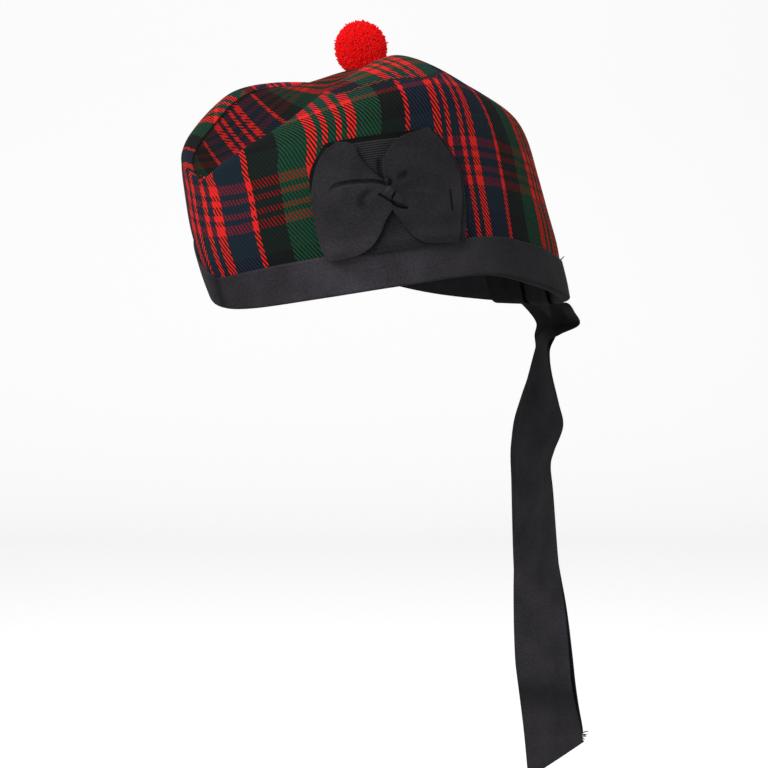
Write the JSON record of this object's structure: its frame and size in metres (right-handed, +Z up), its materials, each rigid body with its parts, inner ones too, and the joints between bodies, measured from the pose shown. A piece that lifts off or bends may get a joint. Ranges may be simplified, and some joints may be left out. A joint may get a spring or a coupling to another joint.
{
  "type": "glengarry",
  "caption": "Boat-shaped tartan wool cap with a creased top, a ribbon band round the rim, a twisted ribbon cockade on the left, a wool pompom and ribbon tails hanging at the back.",
  "frame": {"origin": "middle of the head opening at rim height, where a head carries the hat", "axes": "+Z up, -Y towards the hat's front, +X towards the wearer's left; the hat leans 9 degrees forward as it is worn and the tails hang straight down"},
  "size_m": [0.1573, 0.2265, 0.3876],
  "materials": {
    "tartan_wool": "matt twill weave in dark green, navy and black with red lines",
    "black_ribbon": "fine ribbed ribbon with a soft sheen",
    "red_wool_yarn": "cut wool yarn, matt and fluffy"
  },
  "bodies": {
    "root": {"side_panel_left": "tartan_wool", "side_panel_right": "tartan_wool", "top_insert": "tartan_wool", "band": "black_ribbon", "cockade_base": "black_ribbon", "cockade_bow": "black_ribbon", "cockade_knot": "black_ribbon", "toorie": "red_wool_yarn", "tail_left": "black_ribbon", "tail_right": "black_ribbon"}
  },
  "joints": []
}
